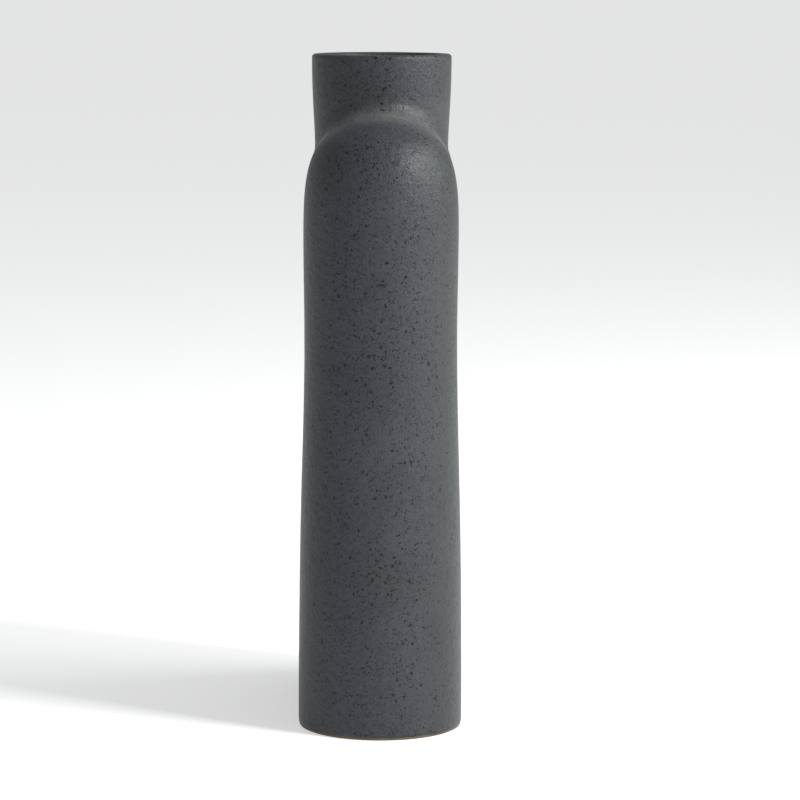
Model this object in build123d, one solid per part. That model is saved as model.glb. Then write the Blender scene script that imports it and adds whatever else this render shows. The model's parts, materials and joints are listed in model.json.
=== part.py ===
from build123d import *

import os

# Stoneware vase, built by hand: a floor slab, two wall slabs, a press-moulded shoulder and a thrown
# neck collar, luted with lap joints, closed with soft coils of clay, and glazed inside and out.
# Millimetres, +Z up. The origin is on the standing surface, on the axis of the neck. The oblong
# body is long along Y and narrow along X.

# Body: half widths along X, and the heights where the flank has them
waist_half_width = 45.5
foot_flare = 3.6
belly_flare = 2.1
shoulder_flare = 0.6
wall_height = 295.0
belly_height = 135.0
waist_drop = 58.0

# Body: half of the straight run of its oblong plan, which the rounded ends lie beyond
half_straight = 56.0

# Shoulder: how far its arch rises above the walls, and how full it is on the way up the flank and on
# the way in to the crown, where 0.55 for both is an ellipse and more is squarer
arch_rise = 68.5
flank_fullness = 0.56
crown_fullness = 0.96

# Neck
neck_height = 36.5
neck_radius = 40.7
crease_flare = 1.1
rim_flare = 1.6
crease_radius = 11.0
lip_radius = 2.2

# Layers, from the outside inwards, and the hair gap between each glaze and the clay
outer_glaze_thickness = 0.5
wall_thickness = 6.0
liner_thickness = 0.4
glaze_gap = 0.05
floor_thickness = 8.0

# Foot
foot_edge_radius = 1.2
bare_foot_height = 1.8
rest_ring_width = 12.0
foot_recess_depth = 1.5

# Joints between the clay pieces
lap_length = 5.0
lap_clearance = 0.3
floor_flange_height = 4.0
neck_stub_height = 4.0
coil_width = 4.4
coil_depth = 2.0
floor_coil_radius = 6.0
glaze_turn_in = 24.0

# Heights that follow from the sizes above
crown_height = wall_height + arch_rise
rim_height = crown_height + neck_height
waist_height = wall_height - waist_drop
neck_seam_height = crown_height + crease_radius + neck_stub_height
shoulder_lap_end = wall_height - lap_length
neck_lap_end = neck_seam_height - lap_length
glaze_meeting_height = rim_height - glaze_turn_in

# Surfaces between the layers, as insets from the glazed outside
glazed_face = 0.0
glaze_back = outer_glaze_thickness
clay_face = glaze_back + glaze_gap
middle_face = clay_face + wall_thickness / 2
liner_face = clay_face + wall_thickness
groove_face = liner_face - coil_depth
liner_back = liner_face + glaze_gap
inner_face = liner_back + liner_thickness

# Length of the blocks that cut the vase, well past every side of it
reach = 4 * (half_straight + waist_half_width + foot_flare)


def between(low, high):
    """Block over the whole plan, between two heights."""
    return Pos(0, 0, (low + high) / 2) * Box(reach, reach, high - low)


def strip(left, right):
    """Block over the whole length and height, between two places along X."""
    return Pos((left + right) / 2, 0, 0) * Box(right - left, reach, 2 * (rim_height + reach))


def body_outline(inset):
    """Half of the body's cross section in the XZ plane, from the axis out to the flank."""
    foot = waist_half_width + foot_flare - inset
    belly = waist_half_width + belly_flare - inset
    waist = waist_half_width - inset
    shoulder = waist_half_width + shoulder_flare - inset
    crown = crown_height - inset
    flank = Spline(
        (foot, 0, 0),
        (belly, 0, belly_height),
        (waist, 0, waist_height),
        (shoulder, 0, wall_height),
        tangents=[(0, 0, 1), (0, 0, 1)],
    )
    arch = Bezier(
        (shoulder, 0, wall_height),
        (shoulder, 0, wall_height + flank_fullness * (crown - wall_height)),
        (crown_fullness * shoulder, 0, crown),
        (0, 0, crown),
    )
    middle = Polyline((0, 0, crown), (0, 0, 0), (foot, 0, 0))
    return make_face([flank, arch, middle])


def oblong_body(inset):
    """Body without the neck: the cross section run along Y and turned round each end."""
    outline = body_outline(inset)
    end = revolve(outline, Axis.Z, 360)
    right = extrude(Pos(0, -half_straight, 0) * outline, amount=2 * half_straight, dir=(0, 1, 0))
    left = mirror(right, Plane.YZ)
    return right + left + Pos(0, -half_straight, 0) * end + Pos(0, half_straight, 0) * end


def neck_post(inset):
    """Solid post with the neck's outline, from inside the shoulder to past the rim."""
    neck = neck_radius - inset
    rim = neck_radius + rim_flare - inset
    past_rim = rim_height + neck_height
    side = Spline(
        (neck, 0, wall_height),
        (neck, 0, crown_height - crease_radius),
        (neck + crease_flare, 0, crown_height + crease_radius),
        (rim, 0, rim_height),
        tangents=[(0, 0, 1), (0, 0, 1)],
    )
    cap = Polyline(
        (rim, 0, rim_height),
        (rim, 0, past_rim),
        (0, 0, past_rim),
        (0, 0, wall_height),
        (neck, 0, wall_height),
    )
    return revolve(make_face([side, cap]), Axis.Z, 360)


def is_crease(edge):
    """True for an edge of the closed line where the neck leaves the arch of the shoulder."""
    box = edge.bounding_box()
    under_crown = wall_height < box.min.Z and box.max.Z < crown_height + 1
    near_neck = max(-box.min.Y, box.max.Y) < half_straight - 1
    return edge.geom_type == GeomType.BSPLINE and under_crown and near_neck


def form(inset):
    """Whole solid form of the vase at an inset, with the crease filleted and no rim yet."""
    joined = oblong_body(inset) + neck_post(inset)
    crease = [edge for edge in joined.edges() if is_crease(edge)]
    return fillet(crease, radius=crease_radius + inset)


def edges_at(solid, height):
    """Edges that lie flat at a height."""
    return [edge for edge in solid.edges() if lies_at(edge.bounding_box(), height)]


def lies_at(box, height, tolerance=0.01):
    """True for a box that is flat and lies at a height."""
    return abs(box.min.Z - height) < tolerance and abs(box.max.Z - height) < tolerance


def band(outside, inside, low, high):
    """Closed ring of the shell between two insets and two heights."""
    level = between(low, high)
    return (forms[outside] & level) - (forms[inside] & level)


def hollow(inset, floor_height, corner_radius):
    """Inside space of the vase at an inset, with its floor edge rounded, open past the rim."""
    space = forms[inset] - between(-1, floor_height)
    return fillet(edges_at(space, floor_height), radius=corner_radius)


def vessel(outside, inside, top, floor_height, corner_radius, rim_radius):
    """Whole vase from one inset to another, with its rim rounded on both sides."""
    solid = forms[outside] & between(0, top)
    shell = solid - hollow(inside, floor_height, corner_radius)
    return fillet(edges_at(shell, top), radius=rim_radius)


def floor_slab():
    """Floor with a flange that carries the walls, a step that locates them and a foot recess."""
    flange = oblong_body(clay_face) & between(0, floor_flange_height)
    flange = fillet(edges_at(flange, 0), radius=foot_edge_radius)
    step = oblong_body(middle_face) & between(floor_flange_height, floor_thickness)
    recess = oblong_body(clay_face + rest_ring_width) & between(-1, foot_recess_depth)
    return flange + step - recess


def floor_coil():
    """Coil pressed into the corner between the floor and the walls, smoothed hollow."""
    corner = between(floor_thickness, floor_thickness + 2 * floor_coil_radius)
    space = hollow(liner_face, floor_thickness, floor_coil_radius)
    return (forms[liner_face] & corner) - (space & corner)


def seam_coil(seam_height):
    """Flat coil pressed into the inside of a level seam."""
    return band(groove_face, liner_face, seam_height - coil_width / 2, seam_height + coil_width / 2)


def wall_seam_coils():
    """Upright coils over the inside of the two seams between the wall slabs, front and rear."""
    lining = band(groove_face, liner_face, floor_thickness, shoulder_lap_end - coil_width / 2)
    coils = lining & strip(lap_length - coil_width / 2, lap_length + coil_width / 2)
    return coils.solids().sort_by(Axis.Y)


def wall_ring():
    """Both wall slabs as one ring, with the laps over the floor's step and the shoulder's skirt."""
    skirt = band(clay_face, middle_face, floor_flange_height, floor_thickness)
    wall = band(clay_face, liner_face, floor_thickness, shoulder_lap_end)
    collar = band(clay_face, middle_face, shoulder_lap_end, wall_height)
    return skirt + wall + collar


def wall_slabs(coils):
    """Left slab with the inner half of the lap at both upright seams, and right slab outside it."""
    ring = wall_ring() - coils
    inner_half = forms[middle_face] & between(0, wall_height)
    left = (ring & strip(-reach, 0)) + (ring & inner_half & strip(0, lap_length - lap_clearance))
    right = (ring & strip(0, reach)) - (inner_half & strip(-1, lap_length))
    return left, right


def shoulder_arch(coils):
    """Arched shoulder with the crease and the stub of the neck, and a skirt inside the walls."""
    skirt = band(middle_face, liner_face, shoulder_lap_end + lap_clearance, wall_height)
    arch = band(clay_face, liner_face, wall_height, neck_lap_end)
    stub = band(clay_face, middle_face, neck_lap_end, neck_seam_height)
    return skirt + arch + stub - coils


def neck_collar(coils):
    """Thrown collar with the rounded lip, and a spigot inside the stub of the neck."""
    top = rim_height - outer_glaze_thickness - glaze_gap
    spigot = band(middle_face, liner_face, neck_lap_end + lap_clearance, neck_seam_height)
    collar = band(clay_face, liner_face, neck_seam_height, top)
    collar = fillet(edges_at(collar, top), radius=lip_radius - clay_face)
    return spigot + collar - coils


def glazes():
    """Outer glaze from above the bare foot, over the lip and down inside, and the liner below."""
    glazed = vessel(
        glazed_face,
        inner_face,
        rim_height,
        floor_thickness + glaze_gap + liner_thickness,
        floor_coil_radius - glaze_gap - liner_thickness,
        lip_radius,
    )
    bare = vessel(
        glaze_back,
        liner_back,
        rim_height - outer_glaze_thickness,
        floor_thickness + glaze_gap,
        floor_coil_radius - glaze_gap,
        lip_radius - outer_glaze_thickness,
    )
    skin = glazed - bare - between(-1, bare_foot_height)
    inside = forms[middle_face] & between(0, glaze_meeting_height)
    return skin - inside, skin & inside


insets = (glazed_face, glaze_back, clay_face, middle_face, groove_face, liner_face, liner_back, inner_face)
forms = {inset: form(inset) for inset in insets}

shoulder_coil = seam_coil(shoulder_lap_end)
neck_coil = seam_coil(neck_lap_end)
front_coil, rear_coil = wall_seam_coils()
wall_left, wall_right = wall_slabs(shoulder_coil + front_coil + rear_coil)
outer_glaze, liner_glaze = glazes()

pieces = {
    "floor_slab": floor_slab(),
    "wall_slab_left": wall_left,
    "wall_slab_right": wall_right,
    "shoulder_arch": shoulder_arch(shoulder_coil + neck_coil),
    "neck_collar": neck_collar(neck_coil),
    "floor_coil": floor_coil(),
    "front_seam_coil": front_coil,
    "rear_seam_coil": rear_coil,
    "shoulder_seam_coil": shoulder_coil,
    "neck_seam_coil": neck_coil,
    "outer_glaze": outer_glaze,
    "liner_glaze": liner_glaze,
}

os.makedirs("parts", exist_ok=True)
for name, piece in pieces.items():
    export_step(piece, f"parts/{name}.step")
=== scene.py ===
"""Tall oblong stoneware vase with an arched shoulder, a round neck and a matt speckled glaze.

The glazed skin is worked out with numpy from a few lengths, the clay and the liner glaze come from the
frame, and every finish is a procedural material. All lengths are in metres, with the vase standing on
the origin, its neck's axis along Z and its long side along Y.
"""
import json
import math

import bpy
import numpy as np
from bpy.props import FloatProperty, FloatVectorProperty, IntProperty, PointerProperty
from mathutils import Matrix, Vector


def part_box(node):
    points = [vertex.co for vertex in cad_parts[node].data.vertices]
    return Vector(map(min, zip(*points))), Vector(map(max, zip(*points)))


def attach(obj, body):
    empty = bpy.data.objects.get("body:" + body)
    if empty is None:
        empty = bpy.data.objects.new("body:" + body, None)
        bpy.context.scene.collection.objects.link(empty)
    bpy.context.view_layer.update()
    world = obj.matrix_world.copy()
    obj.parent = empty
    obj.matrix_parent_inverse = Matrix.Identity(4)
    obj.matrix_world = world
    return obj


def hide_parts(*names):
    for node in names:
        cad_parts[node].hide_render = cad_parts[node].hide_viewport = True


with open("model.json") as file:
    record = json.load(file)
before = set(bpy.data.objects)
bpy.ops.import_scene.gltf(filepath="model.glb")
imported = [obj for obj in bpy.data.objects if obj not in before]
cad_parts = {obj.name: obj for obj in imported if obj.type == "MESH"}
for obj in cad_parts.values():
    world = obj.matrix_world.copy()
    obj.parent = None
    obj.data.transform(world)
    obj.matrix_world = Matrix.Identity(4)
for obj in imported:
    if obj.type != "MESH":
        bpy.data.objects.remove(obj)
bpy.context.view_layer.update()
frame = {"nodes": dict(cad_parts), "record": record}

bl_info = {
    "name": "Stoneware Vase",
    "version": (1, 0, 0),
    "blender": (4, 5, 0),
    "location": "3D Viewport > Sidebar > Vase",
    "description": "Makes a tall speckled stoneware vase around its clay frame",
    "category": "Add Mesh",
}

MM = 0.001

# Rows of points up the flank, over the arch and up the neck, each counting the row that it shares with
# the next, and how the back of the skin picks its rows from them
FLANK_ROWS = 132
ARCH_ROWS = 88
NECK_ROWS = 30
BACK_FROM = 130
FLANK_SKIP, ARCH_SKIP, LIP_SKIP = 10, 5, 2

# Rows over the lip and down inside the neck
ROUND_ROWS, FLAT_ROWS, INSIDE_ROWS = 7, 3, 11

# Points on the body's outline, and how far the outline and its lattice go past the body
FLANK_POINTS, ARCH_POINTS = 420, 320
OUTLINE_BELOW = 20 * MM
LATTICE_BELOW, LATTICE_ABOVE, LATTICE_WIDTH = 10 * MM, 30 * MM, 72 * MM

SKIN_LOW, SKIN_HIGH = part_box("outer_glaze")
CLAY_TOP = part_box("wall_slab_left")[1].z
COLLAR_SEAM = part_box("shoulder_arch")[1].z


# Sizes and colours that a user would change


def length(name, description, default):
    """A length property in metres."""
    return FloatProperty(name=name, description=description, default=default, min=0.0, unit="LENGTH")


def colour(name, description, default):
    """A colour property."""
    return FloatVectorProperty(
        name=name, description=description, default=default, size=3, subtype="COLOR", min=0.0, max=1.0
    )


class VaseShape(bpy.types.PropertyGroup):
    """Lengths of the glazed outside."""

    foot: length("Foot", "Half width of the body at the foot", SKIN_HIGH.x)
    belly: length("Belly", "Half width of the body at the belly", SKIN_HIGH.x - 1.5 * MM)
    belly_height: length("Belly height", "Height of the belly", 135.0 * MM)
    waist: length("Waist", "Half width of the body at the waist", SKIN_HIGH.x - 3.6 * MM)
    waist_drop: length("Waist drop", "How far the waist lies below the shoulder", 58.0 * MM)
    shoulder: length("Shoulder", "Half width of the body where the arch springs", SKIN_HIGH.x - 3.0 * MM)
    straight: length("Straight", "Half of the straight run of the oblong plan", SKIN_HIGH.y - SKIN_HIGH.x)
    spring: length("Spring", "Height where the arch of the shoulder springs", CLAY_TOP)
    crown: length("Crown", "Height of the crown of the arch", COLLAR_SEAM - 15.0 * MM)
    neck: length("Neck", "Radius of the neck at the crease", 40.7 * MM)
    neck_flare: length("Neck flare", "Growth of the neck's radius just above the crease", 1.1 * MM)
    rim_flare: length("Rim flare", "Growth of the neck's radius at the rim", 1.6 * MM)
    rim: length("Rim", "Height of the rim", SKIN_HIGH.z)
    crease: length("Crease", "Radius of the crease between the arch and the neck", 11.0 * MM)
    lip: length("Lip", "Radius that rounds the lip", 2.2 * MM)
    wall: length("Wall", "Thickness of the wall with its glaze", 7.0 * MM)
    turn_in: length("Turn in", "How far the glaze runs down inside the neck", 24.0 * MM)
    glaze: length("Glaze", "Thickness of the glaze", 0.42 * MM)
    glaze_line: length("Glaze line", "Height of the glaze's lower edge", SKIN_LOW.z)
    unevenness: length("Unevenness", "Depth of the hand-made unevenness", 0.09 * MM)
    flank_fullness: FloatProperty(
        name="Flank fullness", description="How full the arch is as it leaves the flank", default=0.56
    )
    crown_fullness: FloatProperty(
        name="Crown fullness", description="How full the arch is as it reaches the crown", default=0.96
    )
    columns: IntProperty(name="Columns", description="Points round the vase", default=288, min=24)


class VaseFinish(bpy.types.PropertyGroup):
    """Colours of the glaze and the clay."""

    glaze: colour("Glaze", "Main colour of the outer glaze", (0.0345, 0.0355, 0.0425))
    glaze_light: colour("Light patches", "Where the glaze lies thinner", (0.0515, 0.0535, 0.0610))
    glaze_green: colour("Green patches", "Where the glaze turns greenish", (0.0320, 0.0350, 0.0362))
    speck: colour("Specks", "Iron specks in the glaze", (0.0020, 0.0024, 0.0040))
    # Crease band colour: partly the thinner glaze on the crease, partly a painted sheen, the grazing
    # reflection along the ridge painted in as lighter colour
    thin_glaze_and_painted_sheen: colour("Thin glaze", "Where the glaze breaks on the crease", (0.1500, 0.1530, 0.1490))
    clay: colour("Clay", "Fired bare clay", (0.120, 0.095, 0.072))
    clay_dark: colour("Toasted clay", "Clay toasted at the edge of the glaze", (0.075, 0.055, 0.040))
    liner: colour("Liner", "Glaze inside the vase", (0.0200, 0.0220, 0.0260))
    floor: colour("Floor", "Studio floor", (0.88, 0.88, 0.88))


class VaseStage(bpy.types.PropertyGroup):
    """Place, aim and lens of the camera."""

    distance: length("Camera distance", "From the neck's axis to the camera", 2.052)
    eye: length("Camera height", "Height of the camera", 0.4537)
    turn: FloatProperty(
        name="Turn", description="Camera's turn round the vase", default=math.radians(0.2), subtype="ANGLE"
    )
    tilt: FloatProperty(
        name="Tilt", description="Camera's downward tilt", default=math.radians(7.352), subtype="ANGLE"
    )
    pan: FloatProperty(
        name="Pan", description="Camera's turn aside", default=math.radians(0.325), subtype="ANGLE"
    )
    roll: FloatProperty(
        name="Roll", description="Camera's lean to the side", default=math.radians(0.17), subtype="ANGLE"
    )
    lens: FloatProperty(name="Lens", description="Focal length in millimetres", default=152.07)


# The form of the vase, in whole arrays


def clamped_spline(heights, widths):
    """Cubic through the given points, upright at both ends, as a function of height.

    The slopes at the inner points make the second derivative continuous.
    """
    heights = np.array(heights)
    widths = np.array(widths)
    gap = np.diff(heights)
    rise = np.diff(widths) / gap
    count = len(heights)
    system = np.eye(count)
    right = np.zeros(count)
    inner = np.arange(1, count - 1)
    system[inner, inner - 1] = 1 / gap[:-1]
    system[inner, inner] = 2 / gap[:-1] + 2 / gap[1:]
    system[inner, inner + 1] = 1 / gap[1:]
    right[inner] = 3 * (rise[:-1] / gap[:-1] + rise[1:] / gap[1:])
    slopes = np.linalg.solve(system, right)

    def value(height):
        height = np.clip(height, heights[0], heights[-1])
        part = np.clip(np.searchsorted(heights, height) - 1, 0, count - 2)
        t = (height - heights[part]) / gap[part]
        start = widths[part] * (1 + 2 * t) * (1 - t) ** 2 + slopes[part] * gap[part] * t * (1 - t) ** 2
        end = widths[part + 1] * t * t * (3 - 2 * t) - slopes[part + 1] * gap[part] * t * t * (1 - t)
        return start + end

    return value


class Form:
    """Signed distance to the glazed outside: a swept body and a neck, joined by a rolling-ball crease."""

    STEP = 0.6 * MM

    def __init__(self, shape):
        self.shape = shape
        waist_height = shape.spring - shape.waist_drop
        self.flank = clamped_spline(
            (0.0, shape.belly_height, waist_height, shape.spring),
            (shape.foot, shape.belly, shape.waist, shape.shoulder),
        )
        self.neck_radius = clamped_spline(
            (shape.spring, shape.crown - shape.crease, shape.crown + shape.crease, shape.rim),
            (shape.neck, shape.neck, shape.neck + shape.neck_flare, shape.neck + shape.rim_flare),
        )
        self.outline = self.body_outline()
        self.tabulate()

    def body_outline(self):
        """Points (half width, height) of the body: the flank, then a cubic Bezier up to the crown."""
        shape = self.shape
        heights = np.linspace(-OUTLINE_BELOW, shape.spring, FLANK_POINTS)
        flank = np.stack([self.flank(heights), heights], 1)
        rise = shape.crown - shape.spring
        handles = np.array([
            (shape.shoulder, shape.spring),
            (shape.shoulder, shape.spring + shape.flank_fullness * rise),
            (shape.crown_fullness * shape.shoulder, shape.crown),
            (0.0, shape.crown),
        ])
        t = np.linspace(0, 1, ARCH_POINTS + 1)[1:, None]
        weights = np.hstack([(1 - t) ** 3, 3 * t * (1 - t) ** 2, 3 * t * t * (1 - t), t ** 3])
        arch = weights @ handles
        return np.vstack([flank, arch])

    def tabulate(self):
        """Lattice of the signed distance to the outline, from the nearest stretch of it."""
        across = np.arange(0, LATTICE_WIDTH, self.STEP)
        up = np.arange(-LATTICE_BELOW, self.shape.crown + LATTICE_ABOVE, self.STEP)
        points = np.stack(np.meshgrid(across, up, indexing="ij"), -1)
        start = self.outline[:-1]
        run = np.diff(self.outline, axis=0)
        share = 1 / (run ** 2).sum(1)
        table = np.empty(points.shape[:2])
        for row, line in enumerate(points):
            offset = line[:, None, :] - start
            t = np.clip((offset * run).sum(2) * share, 0, 1)
            away = offset - t[..., None] * run
            table[row] = np.sqrt((away ** 2).sum(2)).min(1)
        width = np.interp(points[..., 1], self.outline[:, 1], self.outline[:, 0])
        inside = (points[..., 0] < width) & (points[..., 1] < self.shape.crown)
        self.low_up = up[0]
        self.table = np.where(inside, -table, table)
        self.slope_across, self.slope_up = np.gradient(self.table, self.STEP)

    def look_up(self, table, q, z):
        """Value of a lattice between its points, by the straight-line rule in both directions."""
        i = np.clip(q / self.STEP, 0, table.shape[0] - 1.001)
        j = np.clip((z - self.low_up) / self.STEP, 0, table.shape[1] - 1.001)
        low_i = i.astype(int)
        low_j = j.astype(int)
        u = i - low_i
        v = j - low_j
        low = table[low_i, low_j] * (1 - v) + table[low_i, low_j + 1] * v
        high = table[low_i + 1, low_j] * (1 - v) + table[low_i + 1, low_j + 1] * v
        return low * (1 - u) + high * u

    def body(self, points):
        """Distance to the body and its gradient: the outline's distance from the ridge line in plan."""
        x, y, z = np.moveaxis(points, -1, 0)
        beyond = np.sign(y) * np.maximum(np.abs(y) - self.shape.straight, 0)
        q = np.hypot(x, beyond)
        distance = self.look_up(self.table, q, z)
        across = self.look_up(self.slope_across, q, z)
        up = self.look_up(self.slope_up, q, z)
        safe = np.maximum(q, 1e-9)
        return distance, np.stack([across * x / safe, across * beyond / safe, up], -1)

    def neck(self, points):
        """Distance to the neck and its gradient: the radius less the neck's radius at that height."""
        x, y, z = np.moveaxis(points, -1, 0)
        radius = np.hypot(x, y)
        step = 0.1 * MM
        lean = (self.neck_radius(z + step) - self.neck_radius(z - step)) / (2 * step)
        scale = 1 / np.sqrt(1 + lean ** 2)
        distance = (radius - self.neck_radius(z)) * scale
        gradient = np.stack([x / radius, y / radius, -lean], -1) * scale[..., None]
        return distance, gradient

    def whole(self, points):
        """Distance to the body and neck joined by a ball of the crease's radius, and its gradient.

        With a and b the distances to the two and c the cosine between their gradients, the ball's
        middle line is where both are the radius r, and the distance to it is
        sqrt(((r-a)^2 + (r-b)^2 - 2 c (r-a)(r-b)) / (1-c^2)).
        """
        r = self.shape.crease
        a, grad_a = self.body(points)
        b, grad_b = self.neck(points)
        c = np.clip((grad_a * grad_b).sum(-1), -0.2, 0.97)
        p = r - a
        q = r - b
        square = np.maximum((p * p + q * q - 2 * c * p * q) / (1 - c * c), 1e-12)
        to_middle = np.sqrt(square)
        weight_a = (p - c * q) / ((1 - c * c) * to_middle)
        weight_b = (q - c * p) / ((1 - c * c) * to_middle)
        on_ball = (weight_a > 0) & (weight_b > 0)
        plain = np.minimum(a, b)
        nearest_is_body = (a < b)[..., None]
        distance = np.where(on_ball, r - to_middle, plain)
        gradient = np.where(
            on_ball[..., None],
            weight_a[..., None] * grad_a + weight_b[..., None] * grad_b,
            np.where(nearest_is_body, grad_a, grad_b),
        )
        return distance, gradient

    def settle(self, points, rounds=14):
        """Points moved along the gradient until they lie on the surface."""
        for _ in range(rounds):
            distance, gradient = self.whole(points)
            size = np.maximum((gradient ** 2).sum(-1), 1e-6)
            points = points - (0.9 * distance / size)[..., None] * gradient
        return points


def plan_radius(angle, width, straight):
    """Distance from the axis to the edge of an oblong plan, its straight side or its round end."""
    cosine = np.abs(np.cos(angle))
    sine = np.abs(np.sin(angle))
    side = width / np.maximum(cosine, 1e-6)
    end = straight * sine + np.sqrt(np.maximum(width ** 2 - (straight * cosine) ** 2, 0))
    return np.where(side * sine <= straight, side, end)


def ramp(t):
    """0 below 0, 1 above 1 and smooth between."""
    t = np.clip(t, 0, 1)
    return t * t * (3 - 2 * t)


def fade(value, none, full):
    """0 where the value is at none, 1 where it is at full and smooth between."""
    return ramp((value - none) / (full - none))


def waves(points, seed, lengths, count):
    """Sum of plane waves in seeded directions: smooth noise between about -1 and 1."""
    draw = np.random.default_rng(seed)
    total = np.zeros(points.shape[:-1])
    for wave_length in lengths:
        direction = draw.normal(size=(3, count))
        direction /= np.linalg.norm(direction, axis=0)
        phase = draw.uniform(0, 2 * math.pi, count)
        total += np.sin(points @ direction * (2 * math.pi / wave_length) + phase).sum(-1)
    return total / (len(lengths) * math.sqrt(count))


def along(start, end, count, ease=0.0):
    """Even shares from start to end, or bunched towards the start for an ease of 1."""
    t = np.linspace(0, 1, count)
    return start + (end - start) * ((1 - ease) * t + ease * (1 - np.cos(t * math.pi / 2)))


def skin_start(form, angle):
    """First guess of the skin as rows of points: up the flank, over the arch, and up the neck.

    In the upright half plane at each angle the arch runs in from the flank to the neck's radius at the
    height that the outline has above the ridge line in plan.
    """
    shape = form.shape
    flank_heights = along(shape.glaze_line, shape.spring, FLANK_ROWS)[:-1, None]
    flank_radius = plan_radius(angle, form.flank(flank_heights), shape.straight)
    flank_z = np.broadcast_to(flank_heights, flank_radius.shape)

    outer = plan_radius(angle, shape.shoulder, shape.straight)
    inner = shape.neck + 4 * MM * np.abs(np.sin(angle))
    t = along(0, 1, ARCH_ROWS, 0.75)[:-1, None]
    arch_radius = outer + (inner - outer) * t
    beyond = np.maximum(arch_radius * np.abs(np.sin(angle)) - shape.straight, 0)
    q = np.hypot(arch_radius * np.cos(angle), beyond)
    arch = form.outline[form.outline[:, 1] >= shape.spring]
    arch_z = np.interp(-q, -arch[:, 0], arch[:, 1])
    arch_z = np.maximum(arch_z, shape.spring + t * 1 * MM)

    last = arch_z[-1]
    neck_t = along(0, 1, NECK_ROWS)[1:, None]
    neck_z = last + (shape.rim - shape.lip - last) * neck_t
    neck_radius = form.neck_radius(neck_z) + 2 * MM * (1 - neck_t) ** 2
    radius = np.vstack([flank_radius, arch_radius, neck_radius])
    height = np.vstack([flank_z, arch_z, neck_z])
    return np.stack([radius * np.cos(angle), radius * np.sin(angle), height], -1)


def lip_rows(form, angle):
    """Rows over the lip and down inside: two quarter rounds, the flat between, and the inner wall."""
    shape = form.shape
    quarter = np.linspace(0, math.pi / 2, ROUND_ROWS + 1)[1:]
    rim_radius = form.neck_radius(shape.rim - shape.lip)
    inner_radius = rim_radius - shape.wall
    outer_r = rim_radius - shape.lip + shape.lip * np.cos(quarter)
    outer_z = shape.rim - shape.lip + shape.lip * np.sin(quarter)
    inner_r = inner_radius + shape.lip - shape.lip * np.sin(quarter)
    inner_z = shape.rim - shape.lip + shape.lip * np.cos(quarter)
    down_z = np.linspace(shape.rim - shape.lip, shape.rim - shape.turn_in, INSIDE_ROWS + 1)[1:]
    down_r = form.neck_radius(down_z) - shape.wall
    flat_r = np.linspace(outer_r[-1], inner_radius + shape.lip, FLAT_ROWS + 1)[1:]
    flat_z = np.full(FLAT_ROWS, shape.rim)
    radius = np.concatenate([outer_r, flat_r, inner_r, down_r])[:, None]
    height = np.concatenate([outer_z, flat_z, inner_z, down_z])[:, None]
    normal_r = [np.cos(quarter), np.zeros(FLAT_ROWS), -np.sin(quarter), -np.ones(INSIDE_ROWS)]
    normal_z = [np.sin(quarter), np.ones(FLAT_ROWS), np.cos(quarter), np.zeros(INSIDE_ROWS)]
    normal_r = np.concatenate(normal_r)[:, None]
    normal_z = np.concatenate(normal_z)[:, None]
    cosine = np.cos(angle)
    sine = np.sin(angle)
    flat = np.ones_like(cosine)
    points = np.stack([radius * cosine, radius * sine, height * flat], -1)
    normals = np.stack([normal_r * cosine, normal_r * sine, normal_z * flat], -1)
    return points, normals


def crease_share(outside, shape):
    """How much each point belongs to the crease band, from 0 to 1; the glaze material paints this band
    lighter, partly as thinner glaze and partly as painted sheen.

    It fades in and out with the distance from the neck, and with the height over the crown measured in
    crease radii; the share is the product of the four.
    """
    away = np.hypot(outside[..., 0], outside[..., 1]) - shape.neck
    over = (outside[..., 2] - shape.crown) / shape.crease
    beside = fade(away, -1 * MM, 8 * MM) * fade(away, 42 * MM, 18 * MM)
    level = fade(over, -2.6, -1.0) * fade(over, 1.3, 0.3)
    return beside * level


def glazed_skin(shape):
    """Closed skin of the outer glaze as rows of points, with the crease's share at each point.

    The outside rows settle on the form and the lip's rows follow. All sink along their normals by
    seeded waves, and more near the foot, where the glaze thins as an exponential of the height over its
    edge and the edge itself wavers. A part of the rows, moved back by the glaze's thickness, closes it.
    """
    form = Form(shape)
    angle = np.linspace(0, 2 * math.pi, shape.columns, endpoint=False)[None, :]
    outside = form.settle(skin_start(form, angle))
    _, normals = form.whole(outside)
    normals /= np.linalg.norm(normals, axis=-1, keepdims=True)
    lip, lip_normals = lip_rows(form, angle)
    points = np.concatenate([outside, lip])
    normals = np.concatenate([normals, lip_normals])
    crease = np.concatenate([crease_share(outside, shape), np.zeros(lip.shape[:2])])

    broad = waves(points, 11, (95 * MM, 60 * MM), 10)
    fine = waves(points, 12, (21 * MM, 13 * MM), 14)
    relief = shape.unevenness * (0.62 * broad + 0.26 * fine)
    edge_wave = 0.35 * MM * waves(points[:1], 13, (30 * MM, 12 * MM), 8)
    wavering = 6 * MM
    climb = np.clip((points[..., 2] - shape.glaze_line) / wavering, 0, 1)
    points[..., 2] += (1 - climb) * edge_wave
    thinning = 0.30 * MM * np.exp(-(points[..., 2] - shape.glaze_line) / (0.8 * MM))
    deepest = 0.36 * MM
    sink = np.clip(relief - shape.unevenness - thinning, -deepest, 0)
    points = points + sink[..., None] * normals

    rows = len(points)
    flank_back = np.arange(0, BACK_FROM, FLANK_SKIP)
    arch_back = np.arange(BACK_FROM, len(outside), ARCH_SKIP)
    lip_back = np.arange(len(outside), rows, LIP_SKIP)
    kept = np.unique(np.concatenate([flank_back, arch_back, lip_back, [rows - 1]]))[::-1]
    back = points[kept] - shape.glaze * normals[kept]
    return np.concatenate([points, back]), np.concatenate([crease, crease[kept]])


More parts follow.
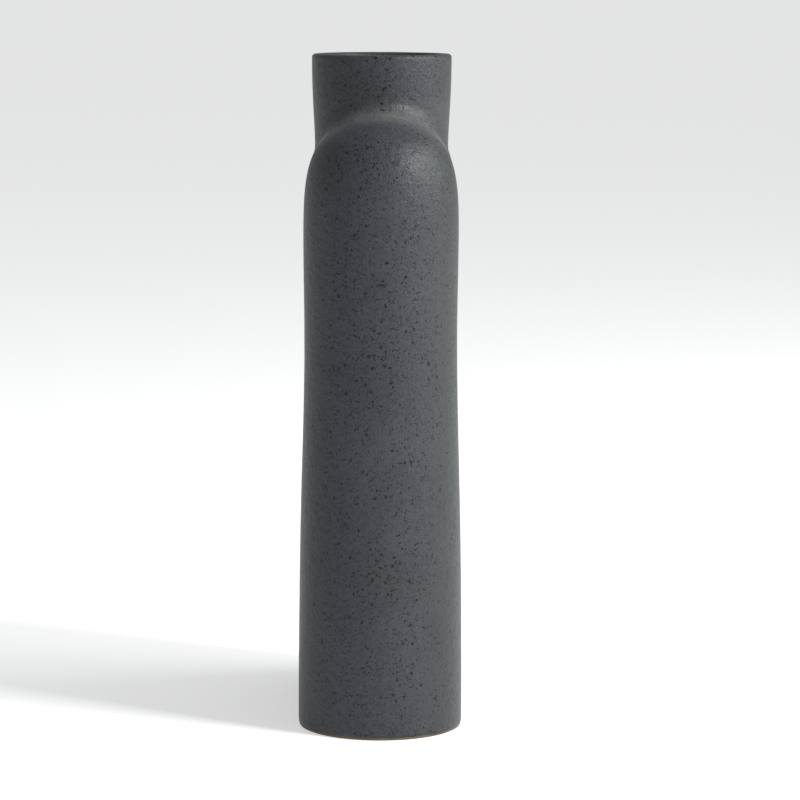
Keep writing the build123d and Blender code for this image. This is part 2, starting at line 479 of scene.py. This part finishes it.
def closed_mesh(name, points, **fields):
    """Mesh of a grid that closes on itself in both directions, with numbers kept at its points."""
    rows, columns = points.shape[:2]
    index = np.arange(rows * columns).reshape(rows, columns)
    up = np.roll(index, -1, 0)
    faces = np.stack([index, np.roll(index, -1, 1), np.roll(up, -1, 1), up], -1).reshape(-1, 4)
    mesh = bpy.data.meshes.new(name)
    mesh.from_pydata(points.reshape(-1, 3), [], faces)
    for field, values in fields.items():
        layer = mesh.attributes.new(field, "FLOAT", "POINT")
        layer.data.foreach_set("value", np.ascontiguousarray(values, np.float32).ravel())
    mesh.polygons.foreach_set("use_smooth", np.ones(len(faces), bool))
    mesh.update()
    return mesh


def new_piece(name, mesh):
    """Object at the origin that holds a mesh."""
    piece = bpy.data.objects.new(name, mesh)
    bpy.context.scene.collection.objects.link(piece)
    return piece


# Materials, with their sums written as expressions


class Number:
    """A number in a material: an expression on it adds its Math nodes."""

    def __init__(self, graph, socket):
        self.graph = graph
        self.socket = socket

    def maths(self, operation, *values):
        """A Math node of this operation on the values."""
        return self.graph.add("ShaderNodeMath", {"operation": operation}, dict(enumerate(values)))

    def __add__(self, other):
        return self.maths("ADD", self, other)

    def __sub__(self, other):
        return self.maths("SUBTRACT", self, other)

    def __rsub__(self, other):
        return self.maths("SUBTRACT", other, self)

    def __mul__(self, other):
        return self.maths("MULTIPLY", self, other)

    __radd__ = __add__
    __rmul__ = __mul__

    def most(self, other):
        """The larger of two numbers."""
        return self.maths("MAXIMUM", self, other)

    def step(self, low, high):
        """0 below low, 1 above high and smooth between, or the other way round."""
        settings = {"interpolation_type": "SMOOTHSTEP"}
        return self.graph.add("ShaderNodeMapRange", settings, {0: self, 1: low, 2: high})


class Graph:
    """The nodes of one material."""

    def __init__(self, name):
        self.material = bpy.data.materials.new(name)
        self.material.use_nodes = True
        self.nodes = self.material.node_tree.nodes
        self.links = self.material.node_tree.links
        self.shader = self.nodes["Principled BSDF"]
        self.place = self.add("ShaderNodeTexCoord", {}, {}, output="Object")

    def add(self, kind, settings, sockets, output=0):
        """Adds one node with its settings, then the values or links of its sockets."""
        node = self.nodes.new(kind)
        for key, value in settings.items():
            setattr(node, key, value)
        for key, value in sockets.items():
            self.feed(node.inputs[key], value)
        return Number(self, node.outputs[output])

    def feed(self, socket, value):
        """Links a number or sets a plain value."""
        if isinstance(value, Number):
            self.links.new(value.socket, socket)
        elif socket.type == "RGBA" and len(value) == 3:
            socket.default_value = (*value, 1.0)
        else:
            socket.default_value = value

    def set(self, **values):
        """Sets the shader's sockets, named with underscores for spaces."""
        for key, value in values.items():
            self.feed(self.shader.inputs[key.replace("_", " ")], value)

    def noise(self, scale, detail=2.0, roughness=0.5, output=0):
        """Cloudy noise at the place."""
        sockets = {"Vector": self.place, "Scale": scale, "Detail": detail, "Roughness": roughness}
        return self.add("ShaderNodeTexNoise", {}, sockets, output)

    def cells(self, scale, vector, output):
        """Random cells: the distance to a cell's point, or the cell's own random colour."""
        return self.add("ShaderNodeTexVoronoi", {}, {"Vector": vector, "Scale": scale}, output)

    def mix(self, share, first, second):
        """Colour between two colours."""
        settings = {"data_type": "RGBA"}
        return self.add("ShaderNodeMix", settings, {0: share, 6: first, 7: second}, output=2)

    def shift(self, amount, scale):
        """The place moved about by noise, so that what reads it gets ragged edges."""
        stir = self.noise(scale, 2.0, output="Color")
        centred = self.add("ShaderNodeVectorMath", {"operation": "SUBTRACT"}, {0: stir, 1: (0.5, 0.5, 0.5)})
        scaled = self.add("ShaderNodeVectorMath", {"operation": "SCALE"}, {0: centred, 3: amount})
        return self.add("ShaderNodeVectorMath", {"operation": "ADD"}, {0: self.place, 1: scaled})

    def part(self, vector, letter):
        """One component of a vector or colour."""
        return self.add("ShaderNodeSeparateXYZ", {}, {0: vector}, output=letter)

    def bump(self, height, distance):
        """Normal of a surface whose relief is the height times the distance."""
        sockets = {"Height": height, "Distance": distance, "Strength": 1.0}
        return self.add("ShaderNodeBump", {}, sockets)


def specks(graph, place, spacing, radius, share):
    """Iron specks: in each cell a random share have a round of random radius about their point.

    Gives the mask, 1 in a speck and 0 outside.
    """
    scale = 1 / spacing
    away = graph.cells(scale, place, "Distance")
    random = graph.cells(scale, place, "Color")
    chance = graph.part(random, "X")
    size = graph.part(random, "Y")
    reach = (size * size * 0.8 + 0.35) * (radius / spacing)
    shown = (share - chance).step(-0.01, 0.01)
    return (reach - away).step(-0.35 * radius / spacing, 0.25 * radius / spacing) * shown


def glaze_material(name, finish, amount=1.0, gloss=0.0, skin=True):
    """Matt iron-speckled glaze: cloudy colour, ragged specks in drifts, and an orange-peel surface.

    Amount scales the specks, gloss lowers the roughness, and skin is false for the liner.
    """
    graph = Graph(name)
    base = finish.glaze if skin else finish.liner
    cloud = graph.noise(24, 3.0, 0.6)
    drift = graph.noise(95, 4.0, 0.65)
    tint = graph.mix(cloud.step(0.42, 0.66) * 0.6, base, finish.glaze_light if skin else finish.glaze)
    green = graph.noise(17, 2.0, 0.5)
    tint = graph.mix(green.step(0.50, 0.68) * 0.5, tint, finish.glaze_green)
    mottle = graph.noise(520, 3.0, 0.7)
    tint = graph.mix(mottle.step(0.34, 0.68) * 0.7, tint, finish.glaze_light)

    aside = graph.part(graph.place, "X")
    middle = (aside * aside).step(0.0016, 0.0002)
    thickness = drift.step(0.36, 0.60) * 0.62 + middle * 0.34 + 0.18
    tint = graph.mix((1.0 - middle) * 0.7, tint, finish.glaze_green)
    if skin:
        crease = graph.add("ShaderNodeAttribute", {"attribute_name": "crease"}, {}, output="Fac")
        # Crease band: fewer specks where the glaze is thin, and a lighter colour that is partly thin glaze
        # and partly painted sheen along the crease
        band = crease * (drift.step(0.30, 0.60) * 0.35 + 0.65)
        thickness = thickness * (1.0 - band * 0.70)
        tint = graph.mix(band * 0.66, tint, finish.thin_glaze_and_painted_sheen)
        thickness = thickness + graph.part(graph.place, "Z").step(0.374, 0.380) * 0.15
    coarse = specks(graph, graph.shift(0.0050, 560), 2.3 * MM, 0.85 * MM, thickness * 0.66 * amount)
    small = specks(graph, graph.shift(0.0032, 820), 1.35 * MM, 0.48 * MM, thickness * 0.85 * amount)
    dust = specks(graph, graph.shift(0.0012, 1500), 0.80 * MM, 0.28 * MM, thickness * 0.9 * amount)
    speck = coarse.most(small * 0.9).most(dust * 0.6)
    colour = graph.mix(speck * 0.92, tint, finish.speck)

    peel = graph.noise(820, 2.5, 0.55)
    dents = graph.noise(230, 2.0, 0.5)
    pits = graph.cells(1 / (3.4 * MM), graph.shift(0.0010, 700), "Distance").step(0.16, 0.04)
    height = peel + dents * 1.6 - speck * 0.25 - pits * 0.8
    normal = graph.bump(height, 0.32 * MM)
    rough = (0.35 - gloss) + mottle * 0.14 - speck * 0.06
    graph.set(Base_Color=colour, Roughness=rough, Normal=normal, IOR=1.5, Specular_IOR_Level=0.24)
    return graph.material


def clay_material(name, finish):
    """Bare fired stoneware: warm clay with grog grains, dark iron points and a dry open surface."""
    graph = Graph(name)
    cloud = graph.noise(60, 3.0, 0.6)
    tint = graph.mix(cloud.step(0.35, 0.7) * 0.5, finish.clay, finish.clay_dark)
    grog = specks(graph, graph.shift(0.0006, 900), 1.6 * MM, 0.40 * MM, 0.35)
    iron = specks(graph, graph.shift(0.0006, 1100), 2.2 * MM, 0.30 * MM, 0.30)
    colour = graph.mix(grog * 0.5, tint, (0.30, 0.25, 0.20))
    colour = graph.mix(iron * 0.85, colour, (0.03, 0.022, 0.016))
    grain = graph.noise(1400, 4.0, 0.7)
    height = grain + grog * 0.6
    normal = graph.bump(height, 0.08 * MM)
    graph.set(Base_Color=colour, Roughness=grain * 0.15 + 0.80, Normal=normal, Specular_IOR_Level=0.3)
    return graph.material


def floor_material(name, finish):
    """Plain pale studio floor."""
    graph = Graph(name)
    graph.set(Base_Color=finish.floor, Roughness=0.9, Specular_IOR_Level=0.1)
    graph.set(Emission_Color=(1.0, 1.0, 1.0), Emission_Strength=0.40)
    return graph.material


def dress(piece, material):
    """Gives a piece one material."""
    piece.data.materials.clear()
    piece.data.materials.append(material)


# The operators: one for each group of like pieces, and the stage


class VASE_OT_outer_glaze(bpy.types.Operator):
    """Make the glazed skin of the vase, from the bare foot up over the lip"""

    bl_idname = "vase.outer_glaze"
    bl_label = "Outer Glaze"

    def execute(self, context):
        scene = context.scene
        points, crease = glazed_skin(scene.vase_shape)
        skin = new_piece("glazed_skin", closed_mesh("glazed_skin", points, crease=crease))
        dress(skin, glaze_material("speckled_glaze", scene.vase_finish))
        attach(skin, "root")
        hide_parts("outer_glaze")
        return {"FINISHED"}


class VASE_OT_liner_glaze(bpy.types.Operator):
    """Finish the glaze inside the vase"""

    bl_idname = "vase.liner_glaze"
    bl_label = "Liner Glaze"

    def execute(self, context):
        liner = glaze_material("liner_glaze", context.scene.vase_finish, 0.6, 0.08, skin=False)
        dress(frame["nodes"]["liner_glaze"], liner)
        return {"FINISHED"}


class VASE_OT_clay(bpy.types.Operator):
    """Finish the bare clay of the floor slab, walls, shoulder, collar and coils"""

    bl_idname = "vase.clay"
    bl_label = "Clay"

    def execute(self, context):
        clay = clay_material("bare_stoneware", context.scene.vase_finish)
        for row in frame["record"]["subparts"]:
            if row["material_slot"] == "stoneware":
                dress(frame["nodes"][row["node"]], clay)
        return {"FINISHED"}


class VASE_OT_stage(bpy.types.Operator):
    """Set the floor, the soft lights and the camera"""

    bl_idname = "vase.stage"
    bl_label = "Stage"

    def execute(self, context):
        scene = context.scene
        stage = scene.vase_stage
        self.floor(scene.vase_finish)
        self.lights(scene)
        self.camera(scene, stage)
        scene.view_settings.view_transform = "Standard"
        return {"FINISHED"}

    def floor(self, finish):
        """Round floor: rings whose radius grows by a constant factor, out to 60 metres."""
        angle = np.linspace(0, 2 * math.pi, 96, endpoint=False)
        radius = np.concatenate([[1 * MM], np.geomspace(0.5, 60, 12)])[:, None]
        across = radius * np.cos(angle)
        points = np.stack([across, radius * np.sin(angle), np.zeros_like(across)], -1)
        rows, columns = points.shape[:2]
        index = np.arange(rows * columns).reshape(rows, columns)
        inner = index[:-1]
        outer = index[1:]
        rings = np.stack([inner, outer, np.roll(outer, -1, 1), np.roll(inner, -1, 1)], -1).reshape(-1, 4)
        mesh = bpy.data.meshes.new("studio_floor")
        mesh.from_pydata(points.reshape(-1, 3), [], [list(index[0])] + rings.tolist())
        floor = new_piece("studio_floor", mesh)
        dress(floor, floor_material("studio_floor", finish))

    def soft_light(self, name, place, aim, size, power, tint):
        """Soft box, its size given as two sides, that looks at a point."""
        light = bpy.data.lights.new(name, "AREA")
        light.shape = "RECTANGLE"
        light.size, light.size_y = size
        light.energy = power
        light.color = tint
        lamp = bpy.data.objects.new(name, light)
        lamp.location = place
        lamp.rotation_euler = (Vector(aim) - Vector(place)).to_track_quat("-Z", "Y").to_euler()
        bpy.context.scene.collection.objects.link(lamp)

    def lights(self, scene):
        """Soft key from the front right, above, a larger side light, and a pale surround."""
        aim = (0, 0, 0.22)
        self.soft_light("key", (1.40, -0.85, 1.30), aim, (0.40, 0.40), 36, (0.98, 1.0, 0.98))
        self.soft_light("side", (2.0, 0.0, 1.15), aim, (1.5, 1.4), 31, (0.97, 1.0, 0.96))
        world = bpy.data.worlds.new("studio")
        world.use_nodes = True
        surround = world.node_tree.nodes["Background"]
        surround.inputs["Color"].default_value = (0.98, 0.99, 1.0, 1.0)
        surround.inputs["Strength"].default_value = 0.43
        scene.world = world

    def camera(self, scene, stage):
        """Camera that stands at the turn and height given, tilted down and panned aside."""
        data = bpy.data.cameras.new("camera")
        data.lens = stage.lens
        data.clip_end = 200
        eye = bpy.data.objects.new("camera", data)
        eye.location = (
            stage.distance * math.sin(stage.turn),
            -stage.distance * math.cos(stage.turn),
            stage.eye,
        )
        eye.rotation_euler = (math.pi / 2 - stage.tilt, 0, stage.turn - stage.pan)
        eye.rotation_euler.rotate_axis("Z", stage.roll)
        scene.collection.objects.link(eye)
        scene.camera = eye


class VASE_PT_panel(bpy.types.Panel):
    """Sidebar panel that lists the operators and their settings."""

    bl_idname = "VASE_PT_panel"
    bl_label = "Stoneware Vase"
    bl_space_type = "VIEW_3D"
    bl_region_type = "UI"
    bl_category = "Vase"

    def draw(self, context):
        layout = self.layout
        for operator in OPERATORS:
            layout.operator(operator.bl_idname)
        for group in (context.scene.vase_shape, context.scene.vase_finish, context.scene.vase_stage):
            box = layout.box()
            for key in group.bl_rna.properties.keys():
                if key not in ("rna_type", "name"):
                    box.prop(group, key)


OPERATORS = (VASE_OT_outer_glaze, VASE_OT_liner_glaze, VASE_OT_clay, VASE_OT_stage)
CLASSES = (VaseShape, VaseFinish, VaseStage, *OPERATORS, VASE_PT_panel)


def register():
    for item in CLASSES:
        bpy.utils.register_class(item)
    bpy.types.Scene.vase_shape = PointerProperty(type=VaseShape)
    bpy.types.Scene.vase_finish = PointerProperty(type=VaseFinish)
    bpy.types.Scene.vase_stage = PointerProperty(type=VaseStage)


def unregister():
    del bpy.types.Scene.vase_stage
    del bpy.types.Scene.vase_finish
    del bpy.types.Scene.vase_shape
    for item in reversed(CLASSES):
        bpy.utils.unregister_class(item)


def main():
    register()
    bpy.ops.vase.outer_glaze()
    bpy.ops.vase.liner_glaze()
    bpy.ops.vase.clay()
    bpy.ops.vase.stage()


if __name__ == "__main__":
    main()
